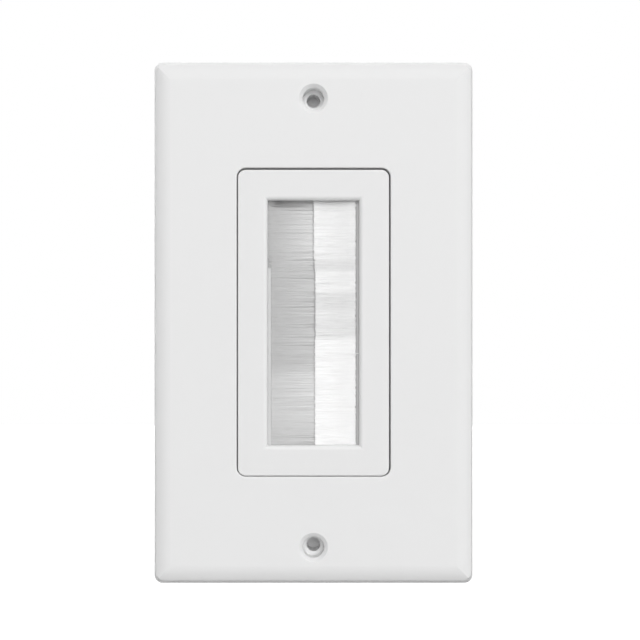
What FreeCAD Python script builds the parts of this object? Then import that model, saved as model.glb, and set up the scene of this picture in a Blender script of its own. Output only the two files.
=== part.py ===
import FreeCAD, Part
import math
import os
import Sketcher

# Brush cable grommet: a single-gang wall plate whose insert holds two bristle packs.
# X is to the right, Y runs into the wall and Z is up. The wall plane is y = 0, and the
# origin is the middle of the two box screws on it. The face is at y = -plate_depth.

doc = FreeCAD.newDocument("brush_cable_grommet")
sheet = doc.addObject("Spreadsheet::Sheet", "Sizes")

sizes = (
    # cover plate
    ("plate_width", "69.85"),
    ("plate_height", "114.3"),
    ("plate_depth", "5.8"),
    ("plate_corner", "1.8"),
    ("face_thickness", "2.4"),
    ("rim_thickness", "2.3"),
    ("rim_step", "2.1"),
    ("rim_step_depth", "2"),
    ("side_flank_inset", "0.8"),
    ("end_flank_inset", "1.4"),
    ("bevel_width", "3.3"),
    ("bevel_drop", "1.14"),
    ("opening_width", "33.2"),
    ("opening_height", "66.6"),
    ("opening_corner", "2"),
    ("opening_rise", "0.12"),
    ("opening_shift", "0.05"),
    ("collar_wall", "1.6"),
    ("stiffener_thickness", "1"),
    ("stiffener_height", "1.4"),
    ("stiffener_spacing", "42"),
    ("plate_screw_inset", "8.73"),
    ("plate_screw_clearance", "4.7"),
    ("countersink_diameter", "6.3"),
    ("countersink_depth", "0.8"),
    ("plate_boss_diameter", "8.2"),
    # insert
    ("opening_gap", "0.3"),
    ("edge_round", "0.25"),
    ("bezel_side", "6.4"),
    ("bezel_end", "6.5"),
    ("window_round", "0.9"),
    ("strap_thickness", "1.6"),
    ("flange_margin", "4.4"),
    ("flange_corner", "2.5"),
    ("ear_width", "30"),
    ("ear_margin", "4.6"),
    ("ear_corner", "4"),
    ("box_screw_step", "6.75"),
    ("box_screw_clearance", "4.4"),
    ("pilot_diameter", "3"),
    ("pilot_wall", "1.9"),
    ("pilot_floor", "0.9"),
    ("pilot_boss_length", "4.4"),
    # brushes and their carriers
    ("carrier_show", "0.9"),
    ("carrier_overlap", "2"),
    ("carrier_wall", "0.55"),
    ("carrier_lip", "1.15"),
    ("carrier_back", "1.15"),
    ("seat_clearance", "0.1"),
    ("root_depth", "4.1"),
    ("left_lean", "2.5"),
    ("tip_offset", "0.1"),
    ("tip_overlap", "0.7"),
    ("tip_clearance", "0.2"),
    ("bristle_thickness", "1"),
    ("bristle_end_overlap", "0.9"),
    ("bristle_clearance", "0.05"),
    ("tuft_pitch", "0.9"),
    ("tuft_groove_width", "0.34"),
    ("tuft_groove_depth", "0.2"),
    ("tuft_tip_step", "0.25"),
    ("bulb_diameter", "2"),
    ("core_wire_diameter", "0.8"),
    # retainer and its screws
    ("retainer_gap", "1.1"),
    ("retainer_thickness", "1.8"),
    ("retainer_inset", "0.4"),
    ("retainer_window_margin", "0.3"),
    ("press_rib_width", "2.6"),
    ("press_rib_length", "46"),
    ("screw_spacing", "23"),
    ("screw_diameter", "2"),
    ("screw_length", "6.2"),
    ("screw_tip", "1.2"),
    ("screw_head_diameter", "3.8"),
    ("screw_head_height", "1.4"),
    ("screw_head_round", "0.7"),
    ("screw_recess_span", "2.2"),
    ("screw_recess_width", "0.55"),
    ("screw_recess_depth", "0.8"),
    ("screw_hole_clearance", "0.15"),
    ("screw_pilot_clearance", "0.02"),
    ("screw_pilot_spare", "0.6"),
)
for row, (alias, number) in enumerate(sizes, start=1):
    sheet.set(f"A{row}", alias)
    sheet.set(f"B{row}", number)
    sheet.setAlias(f"B{row}", alias)
doc.recompute()

# Sizes that follow from the sheet, as expressions of its cells.
insert_width = "(Sizes.opening_width - 2 * Sizes.opening_gap)"
insert_height = "(Sizes.opening_height - 2 * Sizes.opening_gap)"
insert_corner = "(Sizes.opening_corner - Sizes.opening_gap)"
window_width = f"({insert_width} - 2 * Sizes.bezel_side)"
window_height = f"({insert_height} - 2 * Sizes.bezel_end)"
bulb_bore = "(Sizes.bulb_diameter + 2 * Sizes.bristle_clearance)"
carrier_thickness = f"({bulb_bore} + 2 * Sizes.carrier_wall)"
carrier_width = f"(Sizes.carrier_lip + {bulb_bore} + Sizes.carrier_back)"
carrier_length = f"({window_height} + 2 * Sizes.carrier_overlap)"
pocket_length = f"({carrier_length} + 2 * Sizes.seat_clearance)"
bulb_center = f"(Sizes.carrier_lip + {bulb_bore} / 2)"
pack_length = f"({window_height} + 2 * Sizes.bristle_end_overlap)"
bevel_radius = "((Sizes.bevel_width ^ 2 + Sizes.bevel_drop ^ 2) / 2 / Sizes.bevel_drop)"
mouth_x = f"({window_width} / 2 - Sizes.carrier_show)"
mouth_y = "(Sizes.root_depth - Sizes.plate_depth)"
left_tip_x = "(Sizes.tip_offset + Sizes.tip_overlap)"
left_lean = "(Sizes.left_lean * 1 deg)"
left_length = f"(({mouth_x} + {left_tip_x}) / cos({left_lean}))"
# The right pack leans just enough for its back to pass in front of the left pack's tips.
lean_rise = f"(({mouth_x} + {left_tip_x}) * tan({left_lean}) + Sizes.bristle_thickness + Sizes.tip_clearance)"
right_lean = f"atan({lean_rise} / ({mouth_x} - {left_tip_x}))"
right_length = f"(({mouth_x} - Sizes.tip_offset) / cos({right_lean}))"
carrier_rear = f"({carrier_width} * sin({right_lean}) + {carrier_thickness} / 2 * cos({right_lean}))"
rear_plane = f"({mouth_y} + {carrier_rear} + Sizes.retainer_gap)"
plate_screw_spacing = "(Sizes.plate_height - 2 * Sizes.plate_screw_inset)"
box_screw_spacing = f"({plate_screw_spacing} - 2 * Sizes.box_screw_step)"
rim_inner_width = "(Sizes.plate_width - 2 * Sizes.rim_thickness)"
rim_inner_height = "(Sizes.plate_height - 2 * Sizes.rim_thickness)"
cavity_depth = "(Sizes.plate_depth - Sizes.face_thickness)"
screw_height = f"({pocket_length} + {insert_height}) / 4"


def value(expression):
    result = sheet.evalExpression(expression)
    return float(getattr(result, "Value", result))


def origin_feature(body, role):
    for feature in body.Origin.OriginFeatures:
        if feature.Role == role:
            return feature


def add_body(label):
    body = doc.addObject("PartDesign::Body", label)
    body.Label = label
    return body


def add_sketch(body, name, role, offset=None):
    sketch = body.newObject("Sketcher::SketchObject", name)
    sketch.AttachmentSupport = [(origin_feature(body, role), "")]
    sketch.MapMode = "FlatFace"
    if offset:
        sketch.setExpression("AttachmentOffset.Base.z", offset)
    return sketch


def bind_point(sketch, edge, end, x, y):
    for kind, expression in (("DistanceX", x), ("DistanceY", y)):
        rule = Sketcher.Constraint(kind, -1, 1, edge, end, value(expression))
        index = sketch.addConstraint(rule)
        sketch.setExpression(f"Constraints[{index}]", expression)


def arc_between(start, end, radius, turn):
    # turn is 1 where the centre is left of the way from start to end, and -1 where it is right
    chord = end - start
    across = FreeCAD.Vector(-chord.y, chord.x, 0).normalize() * turn
    rise = math.sqrt(max(radius ** 2 - (chord.Length / 2) ** 2, 0))
    center = (start + end) * 0.5 + across * rise
    middle = center - across * radius
    return Part.Arc(start, middle, end)


def add_outline(sketch, corners):
    # Each corner is (x, y), or (x, y, radius, turn) where an arc leaves it for the next corner.
    points = [FreeCAD.Vector(value(corner[0]), value(corner[1]), 0) for corner in corners]
    ends = []
    for number, corner in enumerate(corners):
        start = points[number]
        end = points[(number + 1) % len(points)]
        if len(corner) == 2:
            edge = sketch.addGeometry(Part.LineSegment(start, end), False)
            ends.append((edge, 1, 2))
        else:
            edge = sketch.addGeometry(arc_between(start, end, value(corner[2]), corner[3]), False)
            ends.append((edge, 1, 2) if corner[3] > 0 else (edge, 2, 1))
    for number, corner in enumerate(corners):
        edge, first, last = ends[number]
        next_edge, next_first, next_last = ends[(number + 1) % len(ends)]
        sketch.addConstraint(Sketcher.Constraint("Coincident", edge, last, next_edge, next_first))
        bind_point(sketch, edge, first, corner[0], corner[1])
        if len(corner) > 2:
            index = sketch.addConstraint(Sketcher.Constraint("Radius", edge, value(corner[2])))
            sketch.setExpression(f"Constraints[{index}]", corner[2])


def add_rectangle(sketch, left, bottom, right, top):
    add_outline(sketch, ((left, bottom), (right, bottom), (right, top), (left, top)))


def add_rounded_rectangle(sketch, width, height, radius):
    x = f"({width} / 2)"
    y = f"({height} / 2)"
    add_outline(sketch, (
        (f"{radius} - {x}", f"-{y}"),
        (f"{x} - {radius}", f"-{y}", radius, 1),
        (x, f"{radius} - {y}"),
        (x, f"{y} - {radius}", radius, 1),
        (f"{x} - {radius}", y),
        (f"{radius} - {x}", y, radius, 1),
        (f"-{x}", f"{y} - {radius}"),
        (f"-{x}", f"{radius} - {y}", radius, 1),
    ))


def add_circle(sketch, x, y, diameter):
    circle = Part.Circle(FreeCAD.Vector(value(x), value(y), 0), FreeCAD.Vector(0, 0, 1), value(diameter) / 2)
    edge = sketch.addGeometry(circle, False)
    bind_point(sketch, edge, 3, x, y)
    index = sketch.addConstraint(Sketcher.Constraint("Diameter", edge, value(diameter)))
    sketch.setExpression(f"Constraints[{index}]", diameter)


def add_feature(body, kind, name, sketch, length, reverse=False, symmetric=False):
    feature = body.newObject(f"PartDesign::{kind}", name)
    feature.Profile = sketch
    feature.Reversed = reverse
    if symmetric:
        feature.SideType = "Symmetric"
    if length == "through":
        feature.Type = "ThroughAll"
    else:
        feature.setExpression("Length", length)
    doc.recompute()
    return feature


def repeat(body, name, feature, axis, spacing, count):
    pattern = body.newObject("PartDesign::LinearPattern", name)
    pattern.Originals = [feature]
    pattern.Direction = (origin_feature(body, axis), [""])
    pattern.setExpression("Length", f"({count} - 1) * {spacing}")
    pattern.setExpression("Occurrences", count)
    body.Tip = pattern
    doc.recompute()
    return pattern


def front_edges(feature, half_width, half_height):
    # Names the edges of the face plane that lie within the given half sizes.
    front = -value("Sizes.plate_depth")
    names = []
    for number, edge in enumerate(feature.Shape.Edges, start=1):
        box = edge.BoundBox
        on_face = abs(box.YMin - front) < 1e-4 and abs(box.YMax - front) < 1e-4
        inside = max(-box.XMin, box.XMax) < half_width and max(-box.ZMin, box.ZMax) < half_height
        if on_face and inside:
            names.append(f"Edge{number}")
    return names


def ease_edges(body, name, radius, half_width, half_height):
    base = body.Tip
    feature = body.newObject("PartDesign::Fillet", name)
    feature.Base = (base, front_edges(base, half_width, half_height))
    feature.setExpression("Radius", radius)
    doc.recompute()


# The plate's edge: a drafted flank, then a rounded bevel that runs smoothly into the face.
def bevel_waste(half, inset, side):
    outside = f"{side} * ({half} + Sizes.plate_depth)"
    face_edge = f"{side} * ({half} - {inset} - Sizes.bevel_width)"
    return (
        (f"{side} * {half}", "0"),
        (f"{side} * ({half} - {inset})", "Sizes.bevel_drop - Sizes.plate_depth", bevel_radius, -side),
        (face_edge, "-Sizes.plate_depth"),
        (face_edge, "-2 * Sizes.plate_depth"),
        (outside, "-2 * Sizes.plate_depth"),
        (outside, "0"),
    )


# What a corner loses to its rounding, where two flanks meet. It leans in with both of them.
def add_corner_cut(body, x_side, z_side):
    x = "Sizes.plate_width / 2"
    z = "Sizes.plate_height / 2"
    corner = add_sketch(body, "plate_corner", "XZ_Plane")
    add_outline(corner, (
        (f"{x_side} * ({x} - Sizes.plate_corner)", f"{z_side} * {z}", "Sizes.plate_corner", -x_side * z_side),
        (f"{x_side} * {x}", f"{z_side} * ({z} - Sizes.plate_corner)"),
        (f"{x_side} * ({x} + Sizes.plate_depth)", f"{z_side} * ({z} - Sizes.plate_corner)"),
        (f"{x_side} * ({x} + Sizes.plate_depth)", f"{z_side} * ({z} + Sizes.plate_depth)"),
        (f"{x_side} * ({x} - Sizes.plate_corner)", f"{z_side} * ({z} + Sizes.plate_depth)"),
    ))
    cut = add_feature(body, "Pocket", "plate_corner_cut", corner, "Sizes.plate_depth", reverse=True)
    cut.UseCustomVector = True
    cut.setExpression("Direction.x", f"{x_side} * Sizes.side_flank_inset")
    cut.setExpression("Direction.y", "Sizes.plate_depth - Sizes.bevel_drop")
    cut.setExpression("Direction.z", f"{z_side} * Sizes.end_flank_inset")
    doc.recompute()


def make_wall_plate():
    body = add_body("wall_plate")

    outline = add_sketch(body, "plate_outline", "XZ_Plane")
    add_rectangle(outline, "-Sizes.plate_width / 2", "-Sizes.plate_height / 2",
                  "Sizes.plate_width / 2", "Sizes.plate_height / 2")
    add_feature(body, "Pad", "plate_block", outline, "Sizes.plate_depth")

    sides = add_sketch(body, "side_bevels", "XY_Plane")
    ends = add_sketch(body, "end_bevels", "YZ_Plane")
    for side in (1, -1):
        add_outline(sides, bevel_waste("Sizes.plate_width / 2", "Sizes.side_flank_inset", side))
        turned = [(corner[1], corner[0]) + tuple(corner[2:3]) + tuple(-turn for turn in corner[3:])
                  for corner in bevel_waste("Sizes.plate_height / 2", "Sizes.end_flank_inset", side)]
        add_outline(ends, turned)
    add_feature(body, "Pocket", "side_bevel_cut", sides, "through", symmetric=True)
    add_feature(body, "Pocket", "end_bevel_cut", ends, "through", symmetric=True)
    for x_side in (1, -1):
        for z_side in (1, -1):
            add_corner_cut(body, x_side, z_side)

    hollow = add_sketch(body, "hollow", "XZ_Plane")
    add_rectangle(hollow, f"-{rim_inner_width} / 2", f"-{rim_inner_height} / 2",
                  f"{rim_inner_width} / 2", f"{rim_inner_height} / 2")
    add_feature(body, "Pocket", "hollow_cut", hollow, "Sizes.rim_step_depth", reverse=True)

    inner = add_sketch(body, "inner_hollow", "XZ_Plane")
    add_rectangle(inner, f"Sizes.rim_step - {rim_inner_width} / 2", f"Sizes.rim_step - {rim_inner_height} / 2",
                  f"{rim_inner_width} / 2 - Sizes.rim_step", f"{rim_inner_height} / 2 - Sizes.rim_step")
    add_feature(body, "Pocket", "inner_hollow_cut", inner, cavity_depth, reverse=True)

    # Collar round the opening and bosses round the screw holes, which rest on the insert's strap.
    to_strap = f"{cavity_depth} - Sizes.strap_thickness + Sizes.face_thickness / 2"
    collar = add_sketch(body, "collar", "XZ_Plane", "Sizes.strap_thickness")
    add_rectangle(collar, "-Sizes.opening_width / 2 - Sizes.collar_wall",
                  "-Sizes.opening_height / 2 - Sizes.collar_wall",
                  "Sizes.opening_width / 2 + Sizes.collar_wall",
                  "Sizes.opening_height / 2 + Sizes.collar_wall")
    add_feature(body, "Pad", "collar_pad", collar, to_strap)
    bosses = add_sketch(body, "bosses", "XZ_Plane", "Sizes.strap_thickness")
    for side in ("", "-"):
        add_circle(bosses, "0", f"{side}{plate_screw_spacing} / 2", "Sizes.plate_boss_diameter")
    add_feature(body, "Pad", "boss_pad", bosses, to_strap)

    # Four stiffeners run from the collar to the rim.
    rib_start = f"{cavity_depth} - Sizes.stiffener_height"
    ribs = add_sketch(body, "stiffeners", "XZ_Plane", rib_start)
    for side in (1, -1):
        near = "Sizes.opening_width / 2 + Sizes.collar_wall / 2"
        far = f"{rim_inner_width} / 2 - Sizes.rim_step / 2"
        left, right = (near, far) if side > 0 else (f"-({far})", f"-({near})")
        for level in (1, -1):
            middle = f"{level} * Sizes.stiffener_spacing / 2"
            add_rectangle(ribs, left, f"{middle} - Sizes.stiffener_thickness / 2",
                          right, f"{middle} + Sizes.stiffener_thickness / 2")
    add_feature(body, "Pad", "stiffener_pad", ribs, "Sizes.stiffener_height + Sizes.face_thickness / 2")

    opening = add_sketch(body, "opening", "XZ_Plane")
    add_rounded_rectangle(opening, "Sizes.opening_width", "Sizes.opening_height", "Sizes.opening_corner")
    # The insert sits a little low and to the left, so the gap is widest above it and on its right.
    opening.setExpression("AttachmentOffset.Base.x", "Sizes.opening_shift")
    opening.setExpression("AttachmentOffset.Base.y", "Sizes.opening_rise")
    add_feature(body, "Pocket", "opening_cut", opening, "through", symmetric=True)
    reach = value("Sizes.opening_width / 2 + Sizes.collar_wall")
    ease_edges(body, "opening_edge", "Sizes.edge_round", reach, value("Sizes.opening_height"))

    for side, name in (("", "top"), ("-", "bottom")):
        hole = add_sketch(body, f"screw_hole_{name}", "XZ_Plane")
        add_circle(hole, "0", f"{side}{plate_screw_spacing} / 2", "Sizes.plate_screw_clearance")
        add_feature(body, "Pocket", f"screw_hole_cut_{name}", hole, "through", symmetric=True)
        sink = add_sketch(body, f"countersink_{name}", "XZ_Plane", "Sizes.plate_depth")
        add_circle(sink, "0", f"{side}{plate_screw_spacing} / 2", "Sizes.countersink_diameter")
        cut = add_feature(body, "Pocket", f"countersink_cut_{name}", sink, "Sizes.countersink_depth")
        cut.setExpression("TaperAngle", "-atan((Sizes.countersink_diameter - Sizes.plate_screw_clearance)"
                          " / 2 / Sizes.countersink_depth)")
        doc.recompute()
    return body


def lean_point(lean, along, across):
    # A point of a carrier's section: along runs out from its mouth, across towards the viewer.
    x = f"({mouth_x} + ({along}) * cos({lean}) + ({across}) * sin({lean}))"
    y = f"({mouth_y} + ({along}) * sin({lean}) - ({across}) * cos({lean}))"
    return x, y


def make_insert_frame():
    body = add_body("insert_frame")

    block = add_sketch(body, "bezel_outline", "XZ_Plane")
    add_rounded_rectangle(block, insert_width, insert_height, insert_corner)
    add_feature(body, "Pad", "bezel", block, "Sizes.plate_depth")
    rear = add_sketch(body, "housing_outline", "XZ_Plane")
    add_rounded_rectangle(rear, insert_width, insert_height, insert_corner)
    add_feature(body, "Pad", "housing", rear, rear_plane, reverse=True)

    flange = add_sketch(body, "flange_outline", "XZ_Plane")
    add_rounded_rectangle(flange, "(Sizes.opening_width + 2 * Sizes.flange_margin)",
                          "(Sizes.opening_height + 2 * Sizes.flange_margin)", "Sizes.flange_corner")
    add_feature(body, "Pad", "flange", flange, "Sizes.strap_thickness")
    ears = add_sketch(body, "ear_outline", "XZ_Plane")
    add_rounded_rectangle(ears, "Sizes.ear_width", f"({plate_screw_spacing} + 2 * Sizes.ear_margin)",
                          "Sizes.ear_corner")
    add_feature(body, "Pad", "ears", ears, "Sizes.strap_thickness")

    bosses = add_sketch(body, "pilot_bosses", "XZ_Plane", "Sizes.strap_thickness")
    pilots = add_sketch(body, "pilots", "XZ_Plane", "Sizes.strap_thickness")
    box_holes = add_sketch(body, "box_screw_holes", "XZ_Plane")
    for side in ("", "-"):
        level = f"{side}{plate_screw_spacing} / 2"
        add_circle(bosses, "0", level, "(Sizes.pilot_diameter + 2 * Sizes.pilot_wall)")
        add_circle(pilots, "0", level, "Sizes.pilot_diameter")
        add_circle(box_holes, "0", f"{side}{box_screw_spacing} / 2", "Sizes.box_screw_clearance")
    boss_length = "Sizes.strap_thickness + Sizes.pilot_boss_length"
    add_feature(body, "Pad", "pilot_boss_pad", bosses, boss_length, reverse=True)
    add_feature(body, "Pocket", "pilot_cut", pilots, f"{boss_length} - Sizes.pilot_floor")
    add_feature(body, "Pocket", "box_screw_cut", box_holes, "through", symmetric=True)

    # The pocket that takes the two carriers from behind, with a leaning seat for each.
    pocket = add_sketch(body, "carrier_pocket", "XY_Plane")
    front = f"{carrier_thickness} / 2 + Sizes.seat_clearance"
    back = f"{carrier_width} + Sizes.seat_clearance"
    right_in = lean_point(right_lean, "0", front)
    right_out = lean_point(right_lean, back, front)
    left_in = lean_point(left_lean, "0", front)
    left_out = lean_point(left_lean, back, front)
    tips = lean_point(right_lean, f"-{right_length} - Sizes.tip_clearance",
                      "Sizes.bristle_thickness / 2 + Sizes.tip_clearance")
    behind = f"{rear_plane} + Sizes.retainer_thickness"
    add_outline(pocket, (
        (f"-{left_out[0]}", left_out[1]),
        (f"-{left_in[0]}", left_in[1]),
        tips,
        right_in,
        right_out,
        (right_out[0], behind),
        (f"-{left_out[0]}", behind),
    ))
    add_feature(body, "Pocket", "carrier_pocket_cut", pocket, pocket_length, symmetric=True)

    window = add_sketch(body, "window", "XZ_Plane")
    add_rectangle(window, f"-{window_width} / 2", f"-{window_height} / 2",
                  f"{window_width} / 2", f"{window_height} / 2")
    add_feature(body, "Pocket", "window_cut", window, "through", symmetric=True)

    screws = add_sketch(body, "screw_pilots", "XZ_Plane", f"-{rear_plane}")
    for x in ("", "-"):
        for y in ("", "-"):
            add_circle(screws, f"{x}Sizes.screw_spacing / 2", f"{y}{screw_height}",
                       "(Sizes.screw_diameter + 2 * Sizes.screw_pilot_clearance)")
    pilot_depth = "Sizes.screw_length - Sizes.retainer_thickness + Sizes.screw_pilot_spare"
    add_feature(body, "Pocket", "screw_pilot_cut", screws, pilot_depth, reverse=True)

    ease_edges(body, "window_lead", "Sizes.window_round",
               value(f"{window_width} / 2 + Sizes.window_round"), value(insert_height))
    edges = body.Tip
    outer = []
    inner_reach = value(f"{window_width} / 2 + 2 * Sizes.window_round")
    inner_names = front_edges(edges, inner_reach, value(f"{window_height} / 2 + 2 * Sizes.window_round"))
    for name in front_edges(edges, value(insert_width), value(insert_height)):
        if name not in inner_names:
            outer.append(name)
    rounded = body.newObject("PartDesign::Fillet", "bezel_edge")
    rounded.Base = (edges, outer)
    rounded.setExpression("Radius", "Sizes.edge_round")
    doc.recompute()
    return body


def place_on_mouth(piece, lean, side, along="0"):
    # side is 1 for the right carrier and -1 for the left, whose local X also runs away from the window
    angle = lean if side > 0 else f"180 deg - {lean}"
    piece.Placement = FreeCAD.Placement(FreeCAD.Vector(), FreeCAD.Rotation(FreeCAD.Vector(0, 0, 1), 1))
    piece.setExpression("Placement.Rotation.Angle", angle)
    piece.setExpression("Placement.Base.x", f"{side} * ({mouth_x} + {along} * cos({lean}))")
    piece.setExpression("Placement.Base.y", f"{mouth_y} + {along} * sin({lean})")


def make_carrier(label, lean, side):
    body = add_body(label)
    section = add_sketch(body, f"{label}_section", "XY_Plane")
    add_rectangle(section, "0", f"-{carrier_thickness} / 2", carrier_width, f"{carrier_thickness} / 2")
    add_feature(body, "Pad", f"{label}_bar", section, carrier_length, symmetric=True)
    bore = add_sketch(body, f"{label}_bore", "XY_Plane")
    add_circle(bore, bulb_center, "0", bulb_bore)
    add_feature(body, "Pocket", f"{label}_bore_cut", bore, "through", symmetric=True)
    mouth = add_sketch(body, f"{label}_mouth", "XY_Plane")
    half = "(Sizes.bristle_thickness / 2 + Sizes.bristle_clearance)"
    add_rectangle(mouth, "-Sizes.carrier_lip", f"-{half}", bulb_center, half)
    add_feature(body, "Pocket", f"{label}_mouth_cut", mouth, "through", symmetric=True)
    place_on_mouth(body, lean, side)
    return body


def make_bristles(label, lean, side, length):
    body = add_body(label)
    half = "Sizes.bristle_thickness / 2"
    slab = add_sketch(body, f"{label}_slab", "XY_Plane")
    add_rectangle(slab, f"-{length}", f"-{half}", bulb_center, half)
    add_feature(body, "Pad", f"{label}_slab_pad", slab, pack_length, symmetric=True)
    bulb = add_sketch(body, f"{label}_bulb", "XY_Plane")
    add_circle(bulb, bulb_center, "0", "Sizes.bulb_diameter")
    add_feature(body, "Pad", f"{label}_bulb_pad", bulb, pack_length, symmetric=True)
    core = add_sketch(body, f"{label}_core", "XY_Plane")
    add_circle(core, bulb_center, "0", "(Sizes.core_wire_diameter + 2 * Sizes.bristle_clearance)")
    add_feature(body, "Pocket", f"{label}_core_cut", core, "through", symmetric=True)

    # Grooves along the bristles part the pack into tufts, on both faces.
    tufts = f"round({pack_length} / Sizes.tuft_pitch)"
    first = f"Sizes.tuft_pitch - {pack_length} / 2"
    groove = add_sketch(body, f"{label}_groove", "YZ_Plane")
    wide = "Sizes.tuft_groove_width / 2"
    for face in (1, -1):
        low, high = (f"{first} - {wide}", f"{first} + {wide}")
        if face < 0:
            low, high = high, low
        add_outline(groove, (
            (f"{face} * ({half} - Sizes.tuft_groove_depth)", first),
            (f"{face} * ({half} + Sizes.tuft_groove_depth)", low),
            (f"{face} * ({half} + Sizes.tuft_groove_depth)", high),
        ))
    cut = add_feature(body, "Pocket", f"{label}_groove_cut", groove, length)
    repeat(body, f"{label}_tufts", cut, "Z_Axis", "Sizes.tuft_pitch", f"{tufts} - 1")

    # Every other tuft ends a little short of the tip line.
    step = add_sketch(body, f"{label}_step", "XZ_Plane")
    add_rectangle(step, f"-{length} - Sizes.tuft_tip_step", first,
                  f"Sizes.tuft_tip_step - {length}", f"{first} + Sizes.tuft_pitch")
    short = add_feature(body, "Pocket", f"{label}_step_cut", step, "through", symmetric=True)
    repeat(body, f"{label}_tips", short, "Z_Axis", "2 * Sizes.tuft_pitch", f"floor(({tufts} - 1) / 2)")
    place_on_mouth(body, lean, side)
    return body


def make_core_wire(label, lean, side):
    wire = doc.addObject("Part::Cylinder", label)
    wire.Label = label
    wire.setExpression("Radius", "Sizes.core_wire_diameter / 2")
    wire.setExpression("Height", pack_length)
    place_on_mouth(wire, lean, side, bulb_center)
    wire.setExpression("Placement.Base.z", f"-{pack_length} / 2")
    return wire


def make_retainer():
    body = add_body("brush_retainer")
    outline = add_sketch(body, "retainer_outline", "XZ_Plane", f"-{rear_plane}")
    add_rounded_rectangle(outline, f"({insert_width} - 2 * Sizes.retainer_inset)",
                          f"({insert_height} - 2 * Sizes.retainer_inset)", insert_corner)
    add_feature(body, "Pad", "retainer_plate", outline, "Sizes.retainer_thickness", reverse=True)

    # A rib behind each carrier holds it on its seat.
    ribs = add_sketch(body, "press_ribs", "XY_Plane")
    back = f"-({carrier_thickness} / 2 + Sizes.seat_clearance)"
    start = f"({carrier_width} - Sizes.press_rib_width) / 2"
    root = f"{rear_plane} + Sizes.retainer_thickness / 2"
    for side, lean in ((1, right_lean), (-1, left_lean)):
        near = lean_point(lean, start, back)
        far = lean_point(lean, f"{start} + Sizes.press_rib_width", back)
        add_outline(ribs, (
            (f"{side} * {near[0]}", near[1]),
            (f"{side} * {far[0]}", far[1]),
            (f"{side} * {far[0]}", root),
            (f"{side} * {near[0]}", root),
        ))
    add_feature(body, "Pad", "press_rib_pad", ribs, "Sizes.press_rib_length", symmetric=True)

    window = add_sketch(body, "retainer_window", "XZ_Plane")
    half_width = f"({window_width} / 2 - Sizes.retainer_window_margin)"
    add_rectangle(window, f"-{half_width}", f"-{window_height} / 2", half_width, f"{window_height} / 2")
    add_feature(body, "Pocket", "retainer_window_cut", window, "through", symmetric=True)

    holes = add_sketch(body, "retainer_holes", "XZ_Plane")
    for x in ("", "-"):
        for y in ("", "-"):
            add_circle(holes, f"{x}Sizes.screw_spacing / 2", f"{y}{screw_height}",
                       "(Sizes.screw_diameter + 2 * Sizes.screw_hole_clearance)")
    add_feature(body, "Pocket", "retainer_hole_cut", holes, "through", symmetric=True)
    return body


def make_screw():
    # One pan-head screw with its head's underside on the back of the retainer.
    body = add_body("screw")
    profile = add_sketch(body, "screw_profile", "XY_Plane")
    head = "Sizes.screw_head_diameter / 2"
    shank = "Sizes.screw_diameter / 2"
    add_outline(profile, (
        ("0", "-Sizes.screw_length"),
        (shank, "Sizes.screw_tip - Sizes.screw_length"),
        (shank, "0"),
        (head, "0"),
        (head, "Sizes.screw_head_height - Sizes.screw_head_round", "Sizes.screw_head_round", 1),
        (f"{head} - Sizes.screw_head_round", "Sizes.screw_head_height"),
        ("0", "Sizes.screw_head_height"),
    ))
    turned = body.newObject("PartDesign::Revolution", "screw_body")
    turned.Profile = profile
    turned.ReferenceAxis = (profile, ["V_Axis"])
    turned.Angle = 360
    doc.recompute()
    recess = add_sketch(body, "screw_recess", "XZ_Plane", "-Sizes.screw_head_height")
    wide = "Sizes.screw_recess_width / 2"
    long = "Sizes.screw_recess_span / 2"
    add_outline(recess, (
        (f"-{wide}", f"-{long}"), (wide, f"-{long}"), (wide, f"-{wide}"),
        (long, f"-{wide}"), (long, wide), (wide, wide),
        (wide, long), (f"-{wide}", long), (f"-{wide}", wide),
        (f"-{long}", wide), (f"-{long}", f"-{wide}"), (f"-{wide}", f"-{wide}"),
    ))
    add_feature(body, "Pocket", "screw_recess_cut", recess, "Sizes.screw_recess_depth", reverse=True)
    body.setExpression("Placement.Base.x", "Sizes.screw_spacing / 2")
    body.setExpression("Placement.Base.y", f"{rear_plane} + Sizes.retainer_thickness")
    body.setExpression("Placement.Base.z", screw_height)
    return body


def mirrored(source, name, normal):
    copy = doc.addObject("Part::Mirroring", name)
    copy.Source = source
    copy.Normal = normal
    doc.recompute()
    return copy


def make_retainer_screws():
    first = make_screw()
    doc.recompute()
    across = mirrored(first, "screw_left", FreeCAD.Vector(1, 0, 0))
    below = mirrored(first, "screw_low", FreeCAD.Vector(0, 0, 1))
    opposite = mirrored(across, "screw_low_left", FreeCAD.Vector(0, 0, 1))
    group = doc.addObject("Part::Compound", "retainer_screws")
    group.Label = "retainer_screws"
    group.Links = [first, across, below, opposite]
    return group


pieces = [
    make_wall_plate(),
    make_insert_frame(),
    make_carrier("brush_carrier_left", left_lean, -1),
    make_carrier("brush_carrier_right", right_lean, 1),
    make_bristles("bristles_left", left_lean, -1, left_length),
    make_bristles("bristles_right", right_lean, 1, right_length),
    make_core_wire("core_wire_left", left_lean, -1),
    make_core_wire("core_wire_right", right_lean, 1),
    make_retainer(),
    make_retainer_screws(),
]
doc.recompute()

for item in doc.Objects:
    if "Invalid" in item.State or "Error" in item.State:
        raise RuntimeError(f"{item.Label} did not build: {item.State}")
for piece in pieces:
    if piece.Shape.isNull() or not piece.Shape.isValid():
        raise RuntimeError(f"{piece.Label} has no valid shape")

os.makedirs("parts", exist_ok=True)
for piece in pieces:
    piece.Shape.exportStep(f"parts/{piece.Label}.step")
    box = piece.Shape.BoundBox
    print(f"{piece.Label}: {len(piece.Shape.Solids)} solid, {piece.Shape.Volume:.1f} mm3, "
          f"x {box.XMin:.2f} to {box.XMax:.2f}, y {box.YMin:.2f} to {box.YMax:.2f}, "
          f"z {box.ZMin:.2f} to {box.ZMax:.2f}")
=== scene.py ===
import math
import random

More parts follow.
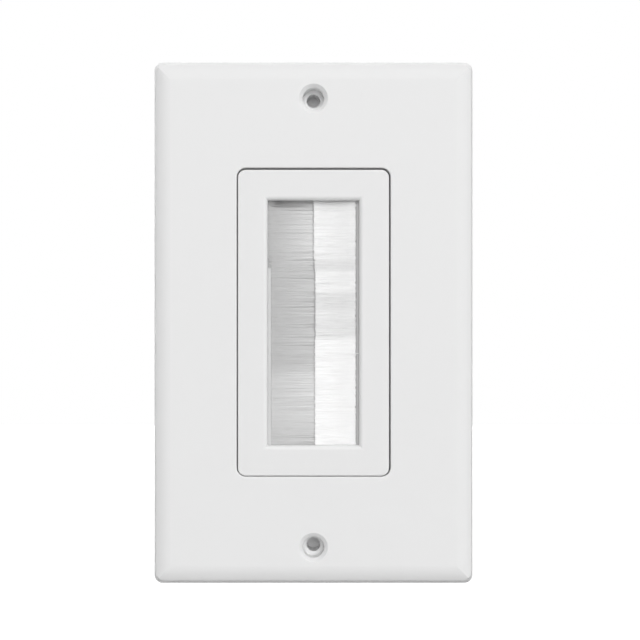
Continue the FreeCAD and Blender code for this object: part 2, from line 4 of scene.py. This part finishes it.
import bmesh
import bpy
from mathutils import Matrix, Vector, noise


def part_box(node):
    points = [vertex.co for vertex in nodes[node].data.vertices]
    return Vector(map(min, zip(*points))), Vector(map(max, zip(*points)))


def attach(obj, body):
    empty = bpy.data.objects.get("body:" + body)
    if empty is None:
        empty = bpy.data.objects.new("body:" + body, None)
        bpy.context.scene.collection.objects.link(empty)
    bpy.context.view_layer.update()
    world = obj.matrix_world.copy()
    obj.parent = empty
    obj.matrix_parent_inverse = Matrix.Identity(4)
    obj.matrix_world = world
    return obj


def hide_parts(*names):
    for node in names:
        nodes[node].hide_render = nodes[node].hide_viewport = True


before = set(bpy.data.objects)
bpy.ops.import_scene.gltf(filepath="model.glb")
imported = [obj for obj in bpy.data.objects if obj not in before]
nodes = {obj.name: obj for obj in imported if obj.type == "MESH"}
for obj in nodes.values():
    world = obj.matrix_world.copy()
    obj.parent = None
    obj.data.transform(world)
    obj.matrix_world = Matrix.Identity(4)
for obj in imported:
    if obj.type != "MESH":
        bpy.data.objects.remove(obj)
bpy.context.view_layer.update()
scene = bpy.context.scene
mm = 0.001
print("frame:", len(nodes), "nodes")


def toLinear(hexColour):
    channels = [int(hexColour[i:i + 2], 16) / 255 for i in (1, 3, 5)]
    linear = [c / 12.92 if c <= 0.04045 else ((c + 0.055) / 1.055) ** 2.4 for c in channels]
    return (*linear, 1.0)


def addNode(tree, kind, settings=None, links=None):
    node = tree.nodes.new(kind)
    for name, value in (settings or {}).items():
        if name in node.inputs:
            node.inputs[name].default_value = value
        else:
            setattr(node, name, value)
    for name, socket in (links or {}).items():
        tree.links.new(socket, node.inputs[name])
    return node


def newMaterial(name, surface):
    material = bpy.data.materials.new(name)
    material.use_nodes = True
    tree = material.node_tree
    tree.nodes.clear()
    shader = addNode(tree, "ShaderNodeBsdfPrincipled", surface)
    addNode(tree, "ShaderNodeOutputMaterial", links={"Surface": shader.outputs["BSDF"]})
    return material, tree, shader


# Moulded white ABS: an even, neutral white with a low satin gloss. Light sinks in a little way, which
# softens its edges. A faint orange peel and patches of gloss keep highlights from looking drawn.
absLook = {
    "sink": 0.5 * mm,           # how far light spreads below the surface
    "patch": 14 * mm,           # size of the patches of tint and gloss
    "glossSpread": 0.04,
    "peelDepth": 0.02 * mm,
    "peelStrength": 0.04,
}


def mouldedAbs(name, pale, dark, roughness, peelMm):
    material, tree, shader = newMaterial(name, {"IOR": 1.54, "Subsurface Weight": 1.0})
    shader.inputs["Subsurface Radius"].default_value = (1.0, 1.0, 1.0)
    shader.inputs["Subsurface Scale"].default_value = absLook["sink"]
    place = addNode(tree, "ShaderNodeTexCoord").outputs["Object"]
    cloud = addNode(tree, "ShaderNodeTexNoise", {"Scale": 1 / absLook["patch"], "Detail": 2.0},
                    {"Vector": place})
    tint = addNode(tree, "ShaderNodeMix", {"data_type": "RGBA"}, {"Factor": cloud.outputs["Fac"]})
    tint.inputs[6].default_value = toLinear(dark)
    tint.inputs[7].default_value = toLinear(pale)
    spread = absLook["glossSpread"]
    gloss = addNode(tree, "ShaderNodeMapRange", {"To Min": roughness - spread, "To Max": roughness + spread},
                    {"Value": cloud.outputs["Fac"]})
    peel = addNode(tree, "ShaderNodeTexNoise", {"Scale": 1 / (peelMm * mm), "Detail": 1.0}, {"Vector": place})
    bump = addNode(tree, "ShaderNodeBump",
                   {"Strength": absLook["peelStrength"], "Distance": absLook["peelDepth"]},
                   {"Height": peel.outputs["Fac"]})
    tree.links.new(tint.outputs[2], shader.inputs["Base Color"])
    tree.links.new(gloss.outputs["Result"], shader.inputs["Roughness"])
    tree.links.new(bump.outputs["Normal"], shader.inputs["Normal"])
    return material


# Drawn nylon filament: pale and a little milky, with a line of gloss along each bristle. Both rows are the
# same nylon. The left row is given darker colours as painted shade and the right row lighter ones as painted
# sheen, for how the light falls on the two leaning rows. No two filaments are quite alike, and short lengths
# of them are painted a little lighter or darker, as painted glints and shade where filaments catch the light.
nylonLook = {
    "roughness": 0.28,
    "specular": 0.9,
    "dash": (3 * mm, 1 * mm, 0.4 * mm),     # length of a lighter or darker stretch, its depth and its height
    "eachShare": 0.28,          # differences between filaments, as a share of those along them
}


def drawnNylon(name, pale, dark, uneven):
    material, tree, shader = newMaterial(name, {"IOR": 1.53, "Roughness": nylonLook["roughness"]})
    shader.inputs["Specular IOR Level"].default_value = nylonLook["specular"]
    each = addNode(tree, "ShaderNodeNewGeometry").outputs["Random Per Island"]
    # The tufts' tone and painted shade and sheen, blended from the lip to the tips
    tuft = addNode(tree, "ShaderNodeAttribute", {"attribute_name": "tone_and_painted_light"}).outputs["Fac"]
    place = addNode(tree, "ShaderNodeTexCoord").outputs["Object"]
    # Painted glints and shade: random short stretches along the filaments, a little lighter or darker
    stretch = tuple(1 / size for size in nylonLook["dash"])
    drawn = addNode(tree, "ShaderNodeMapping", {"Scale": stretch}, {"Vector": place})
    dashes = addNode(tree, "ShaderNodeTexNoise", {"Scale": 1.0, "Detail": 2.0},
                     {"Vector": drawn.outputs["Vector"]})
    shade = tuft
    for source, share in ((each, nylonLook["eachShare"]), (dashes.outputs["Fac"], 1.0)):
        spread = uneven * share
        change = addNode(tree, "ShaderNodeMapRange", {"To Min": -spread, "To Max": spread}, {"Value": source})
        both = addNode(tree, "ShaderNodeMath", {"operation": "ADD"})
        tree.links.new(shade, both.inputs[0])
        tree.links.new(change.outputs["Result"], both.inputs[1])
        shade = both.outputs[0]
    tint = addNode(tree, "ShaderNodeMix", {"data_type": "RGBA"}, {"Factor": shade})
    tint.inputs[6].default_value = toLinear(dark)
    tint.inputs[7].default_value = toLinear(pale)
    tree.links.new(tint.outputs[2], shader.inputs["Base Color"])
    return material


# Zinc plated and drawn steel: bright, the zinc slightly blue, with a fine cloudy bloom on the metal.
steelLook = {
    "glossSpread": 0.08,
}


def brightSteel(name, pale, dark, roughness, grainMm):
    material, tree, shader = newMaterial(name, {"Metallic": 1.0})
    place = addNode(tree, "ShaderNodeTexCoord").outputs["Object"]
    bloom = addNode(tree, "ShaderNodeTexNoise", {"Scale": 1 / (grainMm * mm), "Detail": 4.0},
                    {"Vector": place})
    tint = addNode(tree, "ShaderNodeMix", {"data_type": "RGBA"}, {"Factor": bloom.outputs["Fac"]})
    tint.inputs[6].default_value = toLinear(dark)
    tint.inputs[7].default_value = toLinear(pale)
    spread = steelLook["glossSpread"]
    gloss = addNode(tree, "ShaderNodeMapRange", {"To Min": roughness - spread, "To Max": roughness + spread},
                    {"Value": bloom.outputs["Fac"]})
    tree.links.new(tint.outputs[2], shader.inputs["Base Color"])
    tree.links.new(gloss.outputs["Result"], shader.inputs["Roughness"])
    return material


plateAbs = mouldedAbs("moulded_abs_plate", "#EEEEEE", "#ECECEC", 0.6, 0.6)
insertAbs = mouldedAbs("moulded_abs_insert", "#EDEDED", "#EBEBEB", 0.6, 0.5)
carrierAbs = mouldedAbs("moulded_abs_carrier", "#E0E0E0", "#DADADA", 0.55, 0.4)
bristleNylon = {
    # Painted light: one nylon, its left row darkened as painted shade and its right row lightened as painted
    # sheen
    "left": drawnNylon("drawn_nylon_painted_shade", "#E4E4E4", "#A6A6A6", 0.11),
    "right": drawnNylon("drawn_nylon_painted_sheen", "#FDFDFD", "#DADADA", 0.25),
}
screwZinc = brightSteel("zinc_plated_steel", "#B6B9BB", "#969A9D", 0.3, 0.5)
wireSteel = brightSteel("drawn_steel_wire", "#C4C4C2", "#A3A3A1", 0.35, 0.3)

finishes = {
    "wall_plate": plateAbs,
    "insert_frame": insertAbs,
    "brush_carrier_left": carrierAbs,
    "brush_carrier_right": carrierAbs,
    "brush_retainer": carrierAbs,
    "retainer_screws": screwZinc,
    "core_wire_left": wireSteel,
    "core_wire_right": wireSteel,
}
for name, material in finishes.items():
    for slot in nodes[name].material_slots:
        slot.material = material
print("finishes:", len(finishes), "CAD nodes")


# The brushes
brush = {
    "layers": 6,
    "crowding": 0.6,            # under 1, the layers lie closer together at the front
    "layerPitch": 0.125 * mm,   # between neighbours in one layer
    "diameter": 0.155 * mm,
    "packThickness": 1.0 * mm,
    "rootInside": 0.9 * mm,     # start of a filament, measured from the core wire towards the tip
    "ragged": 0.05 * mm,        # spread of the filament lengths
    "trim": {"left": 0.0, "right": 0.15 * mm},   # the front filaments are cut shorter by this
    "jitter": 0.25,             # unevenness of the spacing, as a share of the pitch
    "splay": 0.05 * mm,         # how far a tip strays along the pack
    "lift": 0.015 * mm,         # how far a tip strays through the pack
    "thinning": {"left": 0.0, "right": 0.75},    # share of its thickness that a pack loses at the tips
    "bend": 1.5,                # over 1, a filament bends more towards its end
    "seed": 7,
    # Tufts that lie together: top level, then how far their tips stand forward, sag and fall short,
    # all in millimetres, and last how light they are at the lip and at the tips. This lightness is partly
    # tone that differs between tufts and partly painted light: painted shade near the left lip and under the
    # window's top, and lighter and darker bands of painted sheen.
    "tufts": {
        "left": [(27.4, -0.40, 0.00, 0.0, 0.12, 0.80), (24.8, 0.00, 0.00, 0.0, 0.20, 0.98),
                 (13.0, -0.05, 0.10, 0.0, 0.20, 0.62), (-10.6, 0.10, -0.10, 0.0, 0.49, 0.95),
                 (-22.0, 0.00, 0.00, 0.0, 0.37, 0.82)],
        "right": [(27.4, -0.30, 0.05, 0.0, 0.60, 0.70), (26.2, 0.05, 0.05, 0.0, 0.70, 0.72),
                  (13.8, 0.20, -0.15, 0.1, 0.40, 0.25), (11.4, 0.05, 0.00, 0.3, 0.78, 0.65),
                  (6.7, 0.20, -0.15, 0.3, 0.38, 0.22), (3.2, 0.15, -0.10, 0.3, 0.48, 0.32),
                  (-3.3, 0.00, 0.10, 0.25, 1.0, 0.87)],
    },
    "tuftBlend": {"left": 3.0 * mm, "right": 1.0 * mm},    # height over which one tuft passes into the next
    # The front layers rise to the carrier's lip: how far they reach past its edge above a level and below
    # it, that level and its spread, and how far into the brush they come down, in millimetres.
    "overLip": {"left": (0.95, 0.20, 11.8, 3.2, 8.0), "right": (0.45, 0.45, 0.0, 0.0, 5.5)},
    "overRank": 0.5,            # layers in front of this rank do so
    "overStack": 0.2 * mm,      # their thickness on the lip
    "overClear": 1.2,           # height of the lowest of them over the lip, in filament radii
    "overStops": (0.0, 1.2, 2.6, 4.5),      # bends of these filaments, from the lip's edge in millimetres
    "overRagged": {"left": 0.15, "right": 0.35},    # unevenness of that reach, as a share of it
    # Close to the row's top they come down sooner: over which height, give or take a share of it, and at
    # what distance from the lip's edge they are down, in millimetres.
    "topEnd": {"left": 2.4 * mm, "right": 1.0 * mm},
    "topUneven": 0.2,
    "topComesDown": 1.5,
    "clump": 0.6 * mm,          # height of the clumps that filaments stick together in
    "clumpTrim": 0.12 * mm,     # how much their lengths differ
    "clumpRows": {"tips": 0, "lip": 7},     # places in the noise that the clumps are read from
    # Single filaments that stray across the right lip: level, start and end, each as x and y in millimetres.
    "strays": [(-6.66, 6.4, -3.6, 9.8, -3.95)],
}


def packLine(side):
    # Follows the CAD pack's middle plane from the core wire to the tips.
    half = brush["packThickness"] / 2
    wireLow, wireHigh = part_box(f"core_wire_{side}")
    packLow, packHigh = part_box(f"bristles_{side}")
    root = (wireLow + wireHigh) / 2
    tipX = packLow.x if side == "right" else packHigh.x
    tip = Vector((tipX, packLow.y + half, root.z))
    along = (tip - root).normalized()
    front = Vector((along.y, -along.x, 0)) if along.x > 0 else Vector((-along.y, along.x, 0))
    return root, along, front, (tip - root).length, packLow.z, packHigh.z


def tuftAt(side, level):
    tufts = brush["tufts"][side]
    values = Vector(tufts[0][1:])
    for top, *target in tufts[1:]:
        share = min(1, max(0, 0.5 + (top * mm - level) / brush["tuftBlend"][side]))
        values = values.lerp(Vector(target), share)
    forward, sag, short, atLip, atTips = values
    return forward * mm, sag * mm, short * mm, atLip, atTips


def clumpAt(row, level):
    return noise.noise((brush["clumpRows"][row], 0, level / brush["clump"]))


def addFilament(curve, places):
    spline = curve.splines.new("POLY")
    spline.points.add(len(places) - 1)
    for point, place in zip(spline.points, places):
        point.co = (*place, 1)


def filamentPath(side, line, level, rank, draw):
    # rank is 0 for the layer at the back and 1 for that at the front
    root, along, front, reach, low, high = line
    radius = brush["diameter"] / 2
    depth = brush["packThickness"] / 2 - radius
    forward, sag, short = tuftAt(side, level)[:3]
    forward += draw.gauss(0, brush["lift"])
    sag += draw.gauss(0, brush["splay"])
    first = brush["rootInside"]
    short += brush["clumpTrim"] * (0.5 + clumpAt("tips", level))
    last = reach - short - rank * brush["trim"][side] - abs(draw.gauss(0, brush["ragged"]))

    lipLow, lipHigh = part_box(f"brush_carrier_{side}")
    lip = ((lipHigh.x if side == "left" else lipLow.x) - root.x) / along.x
    past, pastBelow, change, spread, comesDown = brush["overLip"][side]
    if level / mm < change + spread * draw.random():
        past = pastBelow
    if high - level < brush["topEnd"][side] * draw.uniform(1 - brush["topUneven"], 1 + brush["topUneven"]):
        comesDown = brush["topComesDown"]
    raised = rank >= brush["overRank"]
    stops = [first, (first + last) / 2, last]
    if raised:
        begin = lip - past * mm * (1 + brush["overRagged"][side] * clumpAt("lip", level))
        stops = [begin] + [lip + 2 * radius + stop * mm for stop in brush["overStops"]] + [last]
    atLip = (root + along * lip + front * depth * (2 * rank - 1)).y
    overLip = lipLow.y - brush["overClear"] * radius - brush["overStack"] * (rank - brush["overRank"]) - atLip

    places = []
    for stop in stops:
        share = max(0, (stop - first) / (last - first))
        through = depth * (2 * rank - 1) + forward * share ** brush["bend"]
        through -= 2 * depth * rank * brush["thinning"][side] * share
        place = root + along * stop + front * through
        fade = 1 - min(1, max(0, stop - lip) / (comesDown * mm))
        height = min(high - radius, max(low + radius, level - sag * share ** brush["bend"]))
        places.append((place.x, place.y + raised * overLip * fade ** brush["bend"], height))
    return places


def makeBristles(side):
    draw = random.Random(brush["seed"] + (side == "right"))
    line = packLine(side)
    root, along, front, reach, low, high = line
    radius = brush["diameter"] / 2
    curve = bpy.data.curves.new(f"bristles_{side}", "CURVE")
    curve.dimensions = "3D"
    curve.bevel_depth = radius
    curve.bevel_resolution = 1
    curve.use_fill_caps = True
    count = int((high - low) / brush["layerPitch"])
    for layer in range(brush["layers"]):
        rank = (layer / (brush["layers"] - 1)) ** brush["crowding"]
        for number in range(count):
            uneven = brush["jitter"] * (draw.random() - 0.5)
            level = low + radius + (high - low - 2 * radius) * (number + 0.5 + uneven) / count
            addFilament(curve, filamentPath(side, line, level, rank, draw))
    if side == "right":
        for level, startX, startY, endX, endY in brush["strays"]:
            addFilament(curve, [(startX * mm, startY * mm, level * mm), (endX * mm, endY * mm, level * mm)])
    tube = bpy.data.objects.new(f"bristles_{side}_tubes", curve)
    scene.collection.objects.link(tube)
    mesh = bpy.data.meshes.new_from_object(tube.evaluated_get(bpy.context.evaluated_depsgraph_get()))
    bpy.data.objects.remove(tube)
    mesh.shade_smooth()

    lipLow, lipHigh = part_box(f"brush_carrier_{side}")
    lip = lipHigh.x if side == "left" else lipLow.x
    tip = (root + along * reach).x
    # Painted light: each vertex gets its tuft's lightness from the lip to the tips, darker near the left lip
    # as painted shade
    tone_and_painted_light = []
    for vertex in mesh.vertices:
        atLip, atTips = tuftAt(side, vertex.co.z)[3:]
        share = min(1, max(0, (vertex.co.x - lip) / (tip - lip)))
        tone_and_painted_light.append(atLip + (atTips - atLip) * share)
    mesh.attributes.new("tone_and_painted_light", "FLOAT", "POINT").data.foreach_set("value", tone_and_painted_light)

    piece = bpy.data.objects.new(f"bristle_filaments_{side}", mesh)
    scene.collection.objects.link(piece)
    mesh.materials.clear()
    mesh.materials.append(bristleNylon[side])
    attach(piece, "root")
    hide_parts(f"bristles_{side}")
    print("bristles:", side, len(mesh.polygons), "faces")


for side in ("left", "right"):
    makeBristles(side)


# Stage, light and camera
stage = {
    "floorLevel": -0.25,
    "floorSize": 6.0,
    "floorColour": "#BEBEBE",
    "floorGlow": 0.75,                  # added for the camera, so that the floor reads white
    "fill": 0.32,                       # the world's level on the object
    "frontAim": (0.0, -1.0, 0.1),       # towards the broad softbox behind the camera
    "frontDistance": 3.0,
    "frontPower": 28,
    "frontSize": 2.5,
    "keyAim": (0.36, -1.0, 0.5),        # towards the key light
    "keyDistance": 6.0,
    "keyPower": 197,
    "keyWidth": 5.0,
    "keyHeight": 5.0,
    "rearAim": (-0.3, 1.0, 0.35),       # towards the softbox that lights the back
    "rearDistance": 3.0,
    "rearPower": 82,
    "rearSize": 5.0,
}
camera = {
    "distance": 305.8 * mm,
    "lens": 78.3,
    "sensor": 36.0,
    "clipStart": 0.01,
    "offset": (1.42 * mm, 0.60 * mm),   # right and up of the plate's middle
}


def seenDirectly(tree):
    # 1 for the camera's own rays and for those that metal, gloss or glass sends on, otherwise 0.
    path = addNode(tree, "ShaderNodeLightPath").outputs
    total = path["Is Camera Ray"]
    for name in ("Is Glossy Ray", "Is Transmission Ray"):
        both = addNode(tree, "ShaderNodeMath", {"operation": "MAXIMUM"})
        tree.links.new(total, both.inputs[0])
        tree.links.new(path[name], both.inputs[1])
        total = both.outputs[0]
    return total


def makeFloor():
    material, tree, shader = newMaterial("pale_floor", {"Roughness": 0.9, "IOR": 1.3})
    shader.inputs["Base Color"].default_value = toLinear(stage["floorColour"])
    shader.inputs["Emission Color"].default_value = toLinear("#FFFFFF")
    glow = addNode(tree, "ShaderNodeMapRange", {"To Max": stage["floorGlow"]}, {"Value": seenDirectly(tree)})
    tree.links.new(glow.outputs["Result"], shader.inputs["Emission Strength"])
    shape = bmesh.new()
    bmesh.ops.create_grid(shape, x_segments=1, y_segments=1, size=stage["floorSize"] / 2)
    bmesh.ops.translate(shape, verts=shape.verts, vec=(0, 0, stage["floorLevel"]))
    mesh = bpy.data.meshes.new("floor")
    shape.to_mesh(mesh)
    shape.free()
    mesh.materials.append(material)
    floor = bpy.data.objects.new("floor", mesh)
    scene.collection.objects.link(floor)


def makeLight():
    world = bpy.data.worlds.new("studio")
    world.use_nodes = True
    tree = world.node_tree
    tree.nodes.clear()
    strength = addNode(tree, "ShaderNodeMapRange", {"To Min": stage["fill"], "To Max": 1.0},
                       {"Value": seenDirectly(tree)})
    back = addNode(tree, "ShaderNodeBackground", {"Color": (1, 1, 1, 1)},
                   {"Strength": strength.outputs["Result"]})
    addNode(tree, "ShaderNodeOutputWorld", links={"Surface": back.outputs["Background"]})
    scene.world = world

    for name, width, height in (("key", stage["keyWidth"], stage["keyHeight"]),
                                ("front", stage["frontSize"], stage["frontSize"]),
                                ("rear", stage["rearSize"], stage["rearSize"])):
        softbox = bpy.data.lights.new(f"{name}_softbox", "AREA")
        softbox.shape = "RECTANGLE"
        softbox.size = width
        softbox.size_y = height
        softbox.energy = stage[f"{name}Power"]
        lamp = bpy.data.objects.new(f"{name}_softbox", softbox)
        lamp.location = Vector(stage[f"{name}Aim"]).normalized() * stage[f"{name}Distance"]
        lamp.rotation_euler = lamp.location.to_track_quat("Z", "Y").to_euler()
        lamp.visible_camera = False
        scene.collection.objects.link(lamp)


def makeCamera():
    lens = bpy.data.cameras.new("camera")
    lens.lens = camera["lens"]
    lens.sensor_width = camera["sensor"]
    lens.clip_start = camera["clipStart"]
    view = bpy.data.objects.new("camera", lens)
    view.location = (camera["offset"][0], -camera["distance"], camera["offset"][1])
    view.rotation_euler = (math.pi / 2, 0, 0)
    scene.collection.objects.link(view)
    scene.camera = view


makeFloor()
makeLight()
makeCamera()
scene.view_settings.view_transform = "Standard"
print("stage: floor, light and camera")
